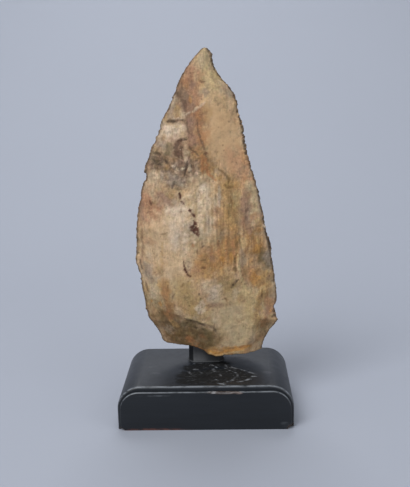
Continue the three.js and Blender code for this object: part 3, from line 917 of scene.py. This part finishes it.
# Painted shade: the nibble hollows are stained dark with crack.
stain(worked * hollow * ease(1.3 - from_right / HOLLOW_REACH), "crack", 0.7)
# Painted shade: the rim, where the stone turns edge-on and away from the light, is stained dark.
turned = np.maximum(ease(1.6 - np.abs(facing[:, 1]) / 0.4), ease(1.4 - from_edge / RIM_REACH))
stain(turned * ease(0.9 + 1.2 * crumb), "crack", 0.8)
score([RIM_GLINT], ALL_ROUND)
print("worked edge", int((from_right < NIBBLE_REACH).sum()), "points")

# %% Break up the colour
CRAGGY_ROUTE = [(-30, 170), (-25, 160), (-8, 160), (-14, 150)]
CLEAN_ROUTE = [(9.5, 194), (13, 180), (17, 164)]
SMOOTH_ROUTES = [[(-27, 120), (-24, 100), (-20, 84)], [(16, 66), (21, 47)]]
STREAKED_ROUTE = [(4, 150), (12, 128), (18, 108), (36, 112)]
SMOOTHING = 0.35
SMOOTH_WIDTH = 11
WARM_SHIFT = (0.05, 0.0, -0.08)
PINK_SHIFT = (0.04, -0.03, 0.01)
DARKEST = 0.004
PALEST = 0.9

craggy = brush(CRAGGY_ROUTE, 7, front)
skin = 1 - 0.75 * brush(CLEAN_ROUTE, 9, front) + 0.4 * craggy
for route in SMOOTH_ROUTES:
    skin -= SMOOTHING * wash(route, SMOOTH_WIDTH, front)
streaky = brush(STREAKED_ROUTE, 16, front)
patina *= (1 + skin * (0.22 * blotch + 0.22 * crumb + 0.16 * speck) + 0.3 * craggy * crumb)[:, None]
patina *= (1 + 0.42 * streaky * fibre)[:, None]
patina *= 1 + np.outer(skin * grain(points, 4, stretch=(1, 1, 2), start=61), WARM_SHIFT)
patina *= 1 + np.outer(skin * grain(points, 2.2, start=67), PINK_SHIFT)
patina = np.clip(patina, DARKEST, PALEST)
print("mean patina", patina.mean(0).round(3))

# %% Work the relief into the net
EDGE_LUMPS = [
    (1.5, 1.3, [(47, 61.5)]),
    (-0.9, 1.3, [(46, 66.5)]),
    (1.1, 2, [(24, 190), (25.5, 183), (28, 171), (30, 162)]),
    (0.9, 1.2, [(6.5, 231.5), (7.5, 229)]),
    (0.9, 1.4, [(42.5, 112), (43.5, 105.5)]),
    (-1.2, 1.2, [(-37, 154.5), (-36.5, 151.5)]),
    (-0.8, 0.9, [(-43, 103)]),
    (-0.7, 0.9, [(24.5, 192.5)]),
    (-0.6, 0.8, [(-18.5, 202)]),
]

relief += 0.2 * blotch + 0.1 * crumb + 0.25 * drift + 0.5 * craggy * crumb
relief += 0.35 * turned * grain(points, 2.6, start=71)
for rise, width, route in EDGE_LUMPS:
    relief += rise * ease(1.5 - distance(route, x, z) / width)
shaped = points + facing * relief[:, None]
stone.data.vertices.foreach_set("co", (shaped * MM).ravel())
kept_patina = stone.data.attributes.new("patina", "FLOAT_COLOR", "POINT")
kept_patina.data.foreach_set("color", np.column_stack((patina, np.ones(len(points)))).ravel())
kept_skin = stone.data.attributes.new("skin", "FLOAT", "POINT")
kept_skin.data.foreach_set("value", skin)
stone.data.update()
print("relief in mm", round(float(relief.min()), 2), "to", round(float(relief.max()), 2))

# %% [markdown]
# ## The stone's finish
# The stains are on the points of the net, about two thirds of a millimetre apart. Finer than that, the
# skin is all pores, dark pits and pale flecks, and these come from noise in the material. They follow
# the roughness kept above, and the same noise lifts and sinks the surface a little as a bump.

# %% Finish the stone
PIT_SPACING = 3.2
PIT_SHADE = (84, 64, 46)
FLECK_SHADE = (205, 188, 160)
BUMP_DEPTH = 0.3

stone_finish, stone_shader, place = start_finish("weathered_stone")
painted = place.node("VertexColor", {"layer_name": "patina"}, {})
rough = place.node("Attribute", {"attribute_name": "skin"}, {}, output="Fac")
pores = mottle(place, 0.7, 2)
grit = mottle(place, 1.4, 3, shift=4)
streaks = mottle(place, 0.9, 2, stretch=(1, 1, 7), shift=8)
tone = 1 + rough * (0.6 * (pores - 0.5) + 0.6 * (grit - 0.5) + 0.6 * (streaks - 0.5))
tone = place.node("CombineColor", {}, {"Red": tone, "Green": tone, "Blue": tone})
pale_flecks = mottle(place, 1.2, 2, shift=16).ease(0.66, 0.76) * rough
per_pit = 1 / (PIT_SPACING * MM)
spread = place.node("Mapping", {}, {"Vector": place, "Scale": (per_pit, per_pit, per_pit)})
nearest = place.node("TexVoronoi", {}, {"Vector": spread, "Scale": 1.0}, output="Distance")
pits = (1 - nearest.ease(0.1, 0.24)) * mottle(place, 12, 2, shift=12).ease(0.42, 0.62)
colour = painted.mix(tone, 1.0, "MULTIPLY").mix(shade(*PIT_SHADE), 0.4 * pits)
colour = colour.mix(shade(*FLECK_SHADE), 0.3 * pale_flecks)
feed(stone_shader, Base_Color=colour, Roughness=0.62 + 0.3 * grit)
stone_shader.inputs["Specular IOR Level"].default_value = 0.25
lift = 0.5 * grit + 0.4 * pores - 0.5 * pits
bumps = place.node("Bump", {}, {"Height": lift, "Strength": 0.5, "Distance": BUMP_DEPTH * MM})
feed(stone_shader, Normal=bumps)
stone.data.materials.append(stone_finish)
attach(stone, "root")
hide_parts("stone_axe")
print("stone finish", len(stone_finish.node_tree.nodes), "nodes")

# %% [markdown]
# ## The plinth's form
# The plinth is a block of wood with two round shoulders and a raised panel on its front and back.
# A cube is bevelled along two edges for the shoulders and round its front and back for the soft
# edge, and the panel is inset and drawn out. The block starts too tall and is trimmed at the floor,
# so that the panel runs straight down to it. Knocks are cut out with small rough lumps.

# %% Shape the block
SHOULDER = 14.5 * MM
BODY_ROUND = 1.6 * MM
PANEL_STEP = 3 * MM
PANEL_SIDE = 1.7 * MM
PANEL_PROUD = 2 * MM
PANEL_ROUND = 1 * MM
SPARE = 8 * MM

low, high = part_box("plinth")
width, depth, height = high - low
body_y = depth / 2 - PANEL_PROUD
bpy.ops.object.select_all(action="DESELECT")
bpy.ops.mesh.primitive_cube_add(
    size=1, location=(0, 0, (height - SPARE) / 2), scale=(width, 2 * body_y, height + SPARE)
)
plinth = settle("black_plinth")


def round_the_body(edge):
    """True on the edges that run round the block's front or back."""
    ends = [vert.co.y for vert in edge.verts]
    return near(*ends) and near(abs(ends[0]), body_y)


bpy.ops.object.mode_set(mode="EDIT")
pick("EDGE", lambda edge: near(middle(edge).z, height) and near(abs(middle(edge).x), width / 2))
bpy.ops.mesh.bevel(offset=SHOULDER, segments=18, affect="EDGES")
pick("EDGE", round_the_body)
bpy.ops.mesh.bevel(offset=BODY_ROUND, segments=5, affect="EDGES")
for side in (-1, 1):
    pick("FACE", lambda face: face.normal.y * side > FLAT_ON)
    bpy.ops.mesh.inset(thickness=PANEL_STEP - BODY_ROUND)
    widen = (width / 2 - PANEL_SIDE) / (width / 2 - PANEL_STEP)
    bpy.ops.transform.resize(value=(widen, 1, 1), center_override=(0, 0, 0))
    bpy.ops.mesh.extrude_region_move(TRANSFORM_OT_translate={"value": (0, side * PANEL_PROUD, 0)})
    bpy.ops.mesh.region_to_loop()
    bpy.ops.mesh.bevel(offset=PANEL_ROUND, segments=3, affect="EDGES")
bpy.ops.mesh.select_all(action="SELECT")
bpy.ops.mesh.bisect(plane_co=(0, 0, 0), plane_no=(0, 0, 1), use_fill=True, clear_inner=True)
bpy.ops.object.mode_set(mode="OBJECT")
print("plinth block", len(plinth.data.polygons), "faces")

# %% Knock the edges
front_y, side_x, top_z = [round(limit / MM, 3) for limit in (low.y, high.x, high.z)]
KNOCKS = [
    {"place": (12, front_y - 0.3, top_z - 2.7), "halves": (10.5, 1.5, 1.6)},
    {"place": (side_x + 0.5, front_y, 0), "halves": (4.4, 5, 3.2)},
    {"place": (2.4 - side_x, front_y + 0.6, 0), "halves": (1.8, 3, 1.6)},
]
LUMP_ROUGHNESS = 0.12

for number, knock in enumerate(KNOCKS):
    bpy.ops.object.select_all(action="DESELECT")
    bpy.ops.mesh.primitive_ico_sphere_add(subdivisions=4, radius=1)
    bpy.ops.object.mode_set(mode="EDIT")
    bpy.ops.transform.vertex_random(offset=LUMP_ROUGHNESS, seed=number)
    bpy.ops.object.mode_set(mode="OBJECT")
    lump = bpy.context.object
    lump.scale = Vector(knock["halves"]) * MM
    lump.location = Vector(knock["place"]) * MM
    settle("knock_lump")
    bpy.ops.object.select_all(action="DESELECT")
    bpy.context.view_layer.objects.active = plinth
    add_modifier(plinth, "BOOLEAN", operation="DIFFERENCE", object=lump, solver="EXACT")
    bpy.data.objects.remove(lump)
print("plinth after knocks", len(plinth.data.polygons), "faces")

# %% [markdown]
# ## The smear on the plinth
# In front of the post lies a smear of black glue that wrinkled as it dried. It is matt, and pale
# colour on its crests and on thin lines across it is painted glints. It is part of the plinth's coat,
# so a window of the top face is cut free, divided into a fine net and raised in wrinkles. The smear and
# its crests have half widths and routes as the stains have, seen from above. How thick the smear lies
# and where its crests stand are kept on the points, and the finish reads them.

# %% Cut a fine net into the top
SMEAR_X = (-24, 37)
SMEAR_Y = (-33.6, 12)
SMEAR_CUTS = 100


def on_top(face):
    return face.normal.z > FLAT_ON and near(face.calc_center_median().z, height)


def in_window(face):
    spot = face.calc_center_median() / MM
    return on_top(face) and SMEAR_X[0] < spot.x < SMEAR_X[1] and SMEAR_Y[0] < spot.y < SMEAR_Y[1]


bpy.ops.object.select_all(action="DESELECT")
plinth.select_set(True)
bpy.context.view_layer.objects.active = plinth
bpy.ops.object.mode_set(mode="EDIT")
for at in SMEAR_X:
    pick("FACE", on_top)
    bpy.ops.mesh.bisect(plane_co=(at * MM, 0, 0), plane_no=(1, 0, 0))
for at in SMEAR_Y:
    pick("FACE", on_top)
    bpy.ops.mesh.bisect(plane_co=(0, at * MM, 0), plane_no=(0, 1, 0))
pick("FACE", in_window)
bpy.ops.mesh.subdivide(number_cuts=SMEAR_CUTS)
bpy.ops.object.mode_set(mode="OBJECT")
print("plinth with its net", len(plinth.data.polygons), "faces")

# %% Draw the smear
SMEAR_ROUTES = [
    (6, [(-10.5, -4), (-1, -0.5), (10.5, 3)]),
    (7, [(-12.5, -16.5), (-0.5, -15), (11.5, -12)]),
    (5.5, [(-13.5, -27), (-0.5, -25.5), (11.5, -26)]),
    (3, [(13, -1), (22, -12)]),
    (4, [(14, -19), (24.5, -23)]),
    (3, [(22, -16), (29.5, -19.5)]),
]
CRESTS = [
    (0.7, [(2.5, 1), (5, -1.5), (7, -3.5)]),
    (0.6, [(12.5, 1), (13.5, -4)]),
    (0.7, [(16.5, -4), (21.5, -7.5), (26.5, -11.5), (32, -17)]),
    (0.7, [(12.5, -5.5), (15.5, -10), (19.5, -14)]),
    (0.8, [(20.5, -15.5), (20, -21), (18, -23.5)]),
    (1.0, [(20.5, -29.5), (25, -27), (28.5, -24.5)]),
    (0.8, [(29.5, -21), (32, -20.5)]),
    (1.3, [(4.5, -6.5), (5.5, -11.5)]),
    (0.8, [(-4.5, -11.5), (-2.5, -14)]),
    (0.7, [(-8, -7.5), (-5.5, -7)]),
    (0.9, [(7.5, -30.5), (10, -32.5), (12.5, -33)]),
    (0.9, [(9, -16.5), (10, -19)]),
    (0.8, [(6.5, -25.5), (8, -27.5)]),
    (0.7, [(13.5, -29), (17.5, -26)]),
    (0.9, [(-11.5, -11), (-9, -16.5)]),
    (0.6, [(-9, 3.5), (-3, 4)]),
]
SMEAR_STRAY = 2
CREST_STRAY = 0.6

tops = read(plinth.data.vertices, "co") / MM
inside = (tops[:, 0] > SMEAR_X[0]) & (tops[:, 0] < SMEAR_X[1]) & (tops[:, 1] > SMEAR_Y[0])
inside &= (tops[:, 1] < SMEAR_Y[1]) & (tops[:, 2] > (height - SLACK) / MM)
stray = grain(tops, 4)
smear = np.zeros(len(tops))
for half_width, route in SMEAR_ROUTES:
    away = distance(route, tops[:, 0] + SMEAR_STRAY * stray, tops[:, 1] - SMEAR_STRAY * stray)
    smear = np.maximum(smear, ease(1.3 - away / half_width))
crest = np.zeros(len(tops))
for half_width, route in CRESTS:
    away = distance(route, tops[:, 0] + CREST_STRAY * stray, tops[:, 1] - CREST_STRAY * stray)
    crest = np.maximum(crest, ease(1.3 - 1.3 * away / half_width) * ease(1 + stray))
smear *= inside
crest *= inside
print("smear covers", int((smear > 0.5).sum()), "points")

# %% Raise the wrinkles
COAT = 0.1
WRINKLE = 0.35
CREST = 0.35
WRINKLE_LEAN = np.array(((0.9, 0.4, 0), (-0.4, 0.9, 0), (0, 0, 1)))
PLINTH_SMOOTH = math.radians(32)

wrinkles = 1 - np.abs(grain(tops @ WRINKLE_LEAN, 2.6, stretch=(2.6, 1, 1)))
tops[:, 2] += smear * (COAT + WRINKLE * wrinkles ** 4) + CREST * crest
plinth.data.vertices.foreach_set("co", (tops * MM).ravel())
for name, values in {"smear": smear, "crest": crest}.items():
    kept = plinth.data.attributes.new(name, "FLOAT", "POINT")
    kept.data.foreach_set("value", values)
plinth.data.update()
bpy.ops.object.shade_smooth_by_angle(angle=PLINTH_SMOOTH)
print("plinth top in mm", round(float(tops[:, 2].max()), 2))

# %% Find the rubbed edges that also take a painted highlight
RUB_AND_SHEEN_TURN = 0.55

turns = np.array([abs(face.normal.y) for face in plinth.data.polygons])
rub_and_sheen = 1 - np.abs(turns - RUB_AND_SHEEN_TURN) / (1 - RUB_AND_SHEEN_TURN)
raised = np.array([face.normal.z for face in plinth.data.polygons])
rub_and_sheen_layer = plinth.data.attributes.new("rub_and_sheen", "FLOAT", "FACE")
# Partly painted highlight: the rounded edges that turn up are marked for rubbed paint and for the light
# they catch from above.
rub_and_sheen_layer.data.foreach_set("value", ease(1.6 * rub_and_sheen) * ease(0.1 + 1.6 * raised))
print("rubbed faces", int((rub_and_sheen > 0.3).sum()))

# %% [markdown]
# ## The plinth's finish
# The paint is a satin black with faint brush lines. Along the rounded edges that turn up it is made
# grey, partly for paint rubbed by handling and partly as a painted highlight of the light from above,
# and knocks have bared the brown wood. Rubs and scuffs away from the edges are soft ellipsoids, each
# with its place, its half sizes, a colour and a strength.

# %% Place the scuffs
SCUFFS = [
    ((4.2, front_y, 24.6), (2.8, 1.5, 0.7), (165, 165, 168), 0.8),
    ((19.5, front_y, 24), (3.2, 1.5, 0.6), (150, 134, 128), 0.8),
    ((-32, front_y, 22.8), (11, 1.5, 0.5), (92, 96, 102), 0.5),
    ((-32.5, -13, top_z), (3.2, 1.4, 1), (108, 112, 118), 0.5),
    ((-36.8, -1.5, top_z), (1.4, 1.2, 1), (100, 104, 110), 0.4),
    ((39, -13.5, top_z), (3.2, 2, 1), (104, 106, 110), 0.35),
    ((49, front_y, 3.2), (3, 1.5, 1.6), (84, 88, 92), 0.4),
    ((-34, front_y, 0), (22, 1.5, 1.3), (88, 56, 50), 0.9),
]


def patch(place, center, halves):
    """1 inside an ellipsoid in millimetres, fading to 0 just outside it."""
    sizes = {"Location": tuple(c * MM for c in center), "Scale": tuple(h * MM for h in halves)}
    inner = place.node("Mapping", {"vector_type": "TEXTURE"}, {"Vector": place, **sizes})
    reached = place.node("VectorMath", {"operation": "LENGTH"}, {0: inner}, output="Value")
    return 1 - reached.ease(0.6, 1.4)


print(len(SCUFFS), "scuffs")

# %% Finish the plinth
PAINT_SHADES = ((19, 22, 26), (29, 33, 39))
RUB_AND_SHEEN_GREY = (118, 123, 130)
BARE_WOOD = (84, 66, 54)
GLUE = (9, 10, 12)
GLUE_GLINT_LINE = (104, 106, 110)
GLUE_CREST_GLINT = (128, 130, 135)
BRUSH_DEPTH = 0.1

plinth_finish, plinth_shader, place = start_finish("black_paint")
thick = place.node("Attribute", {"attribute_name": "smear"}, {}, output="Fac")
crest_glints = place.node("Attribute", {"attribute_name": "crest"}, {}, output="Fac")
edges = place.node("Attribute", {"attribute_name": "rub_and_sheen"}, {}, output="Fac")
brushed = mottle(place, 3, 4, stretch=(9, 2, 1))
dust = mottle(place, 5, 5, shift=3)
worn = mottle(place, 1.6, 4, stretch=(3, 1, 1), shift=6)
colour = between(brushed, *PAINT_SHADES)
# Rubbed paint and painted highlight: the marked rounded edges are made grey.
colour = colour.mix(shade(*RUB_AND_SHEEN_GREY), edges * worn.ease(0.25, 0.6) * 0.85)
for knock in KNOCKS:
    colour = colour.mix(shade(*BARE_WOOD), patch(place, knock["place"], knock["halves"]) * 0.9)
for center, halves, seen, strength in SCUFFS:
    colour = colour.mix(shade(*seen), patch(place, center, halves) * worn.ease(0.35, 0.6) * strength)
colour = colour.mix(shade(*GLUE), thick.ease(0.15, 0.7))
# Painted glints: pale thin lines drawn over the glue, and pale colour on its raised crests.
drawn = mottle(place, 2.4, 2, stretch=(3.2, 1, 1), shift=9) - 0.5
glint_lines = 1 - drawn.math("ABSOLUTE", drawn).ease(0.008, 0.022)
colour = colour.mix(shade(*GLUE_GLINT_LINE), glint_lines * thick * worn.ease(0.45, 0.65) * 0.6)
colour = colour.mix(shade(*GLUE_CREST_GLINT), crest_glints * worn.ease(0.35, 0.6) * 0.6)
feed(plinth_shader, Base_Color=colour, Roughness=0.34 + 0.16 * dust + 0.4 * thick)
plinth_shader.inputs["Specular IOR Level"].default_value = 0.4
lines = place.node("Bump", {}, {"Height": brushed, "Strength": 0.15, "Distance": BRUSH_DEPTH * MM})
feed(plinth_shader, Normal=lines)
plinth.data.materials.append(plinth_finish)
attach(plinth, "root")
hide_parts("plinth")
print("plinth finish", len(plinth_finish.node_tree.nodes), "nodes")

# %% [markdown]
# ## The post
# The post is a short squared bar of painted metal with chamfered corners, set in a bead of glue. Its
# top is cut to the stone that sits on it. A cube is bevelled at its upright edges, its foot is
# cut off as a ring and drawn out into the bead, and the stone itself trims the top.

# %% Model the post
POST_CHAMFER = 3 * MM
POST_ROUND = 0.3 * MM
BEAD_HEIGHT = 0.9 * MM
BEAD_PROUD = 0.7 * MM
POST_SMOOTH = math.radians(30)

low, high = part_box("post")


def upright(edge):
    return near(middle(edge).z, (low.z + high.z) / 2)


def in_the_bead(face):
    return abs(face.normal.z) < 0.1 and face.calc_center_median().z < low.z + BEAD_HEIGHT


bpy.ops.object.select_all(action="DESELECT")
bpy.ops.mesh.primitive_cube_add(size=1, location=(low + high) / 2, scale=high - low)
post = settle("metal_post")
bpy.ops.object.mode_set(mode="EDIT")
pick("EDGE", upright)
bpy.ops.mesh.bevel(offset=POST_CHAMFER, segments=1, affect="EDGES")
pick("EDGE", upright)
bpy.ops.mesh.bevel(offset=POST_ROUND, segments=2, affect="EDGES")
bpy.ops.mesh.select_all(action="SELECT")
bpy.ops.mesh.bisect(plane_co=(0, 0, low.z + BEAD_HEIGHT), plane_no=(0, 0, 1))
pick("FACE", in_the_bead)
bpy.ops.mesh.extrude_region_shrink_fatten(TRANSFORM_OT_shrink_fatten={"value": BEAD_PROUD})
bpy.ops.object.mode_set(mode="OBJECT")
add_modifier(post, "BOOLEAN", operation="DIFFERENCE", object=stone, solver="EXACT")
bpy.ops.object.shade_smooth_by_angle(angle=POST_SMOOTH)
print("post", len(post.data.polygons), "faces")

# %% Finish the post
POST_SHADES = ((90, 91, 94), (110, 111, 114))
STONE_SHADOW_TONE = (48, 49, 52)
DARK_CORNER = (26, 28, 32)
BEAD_SHADE = (88, 90, 93)
STONE_SHADOW_SPAN = (8 * MM, 15 * MM)
CORNER_SPAN = (2.8 * MM, 3.2 * MM)
BEAD_SPAN = (0.6 * MM, 1.1 * MM)

post_finish, post_shader, place = start_finish("grey_metal")
across = place.node("SeparateXYZ", {}, {"Vector": place}, output="X")
up = place.node("SeparateXYZ", {}, {"Vector": place}, output="Z")
worn = mottle(place, 2.5, 5, stretch=(1, 1, 4))
colour = between(worn, *POST_SHADES)
# Painted shadow: the right part of the post, under the stone's overhang, is darkened.
colour = colour.mix(shade(*STONE_SHADOW_TONE), 0.85 * across.ease(*[low.x + end for end in STONE_SHADOW_SPAN]))
colour = colour.mix(shade(*DARK_CORNER), 1 - across.ease(*[low.x + end for end in CORNER_SPAN]))
colour = colour.mix(shade(*BEAD_SHADE), 0.8 - 0.8 * up.ease(*[low.z + end for end in BEAD_SPAN]))
feed(post_shader, Base_Color=colour, Roughness=0.45 + 0.3 * worn)
post.data.materials.append(post_finish)
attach(post, "root")
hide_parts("post")
print("post finish", len(post_finish.node_tree.nodes), "nodes")
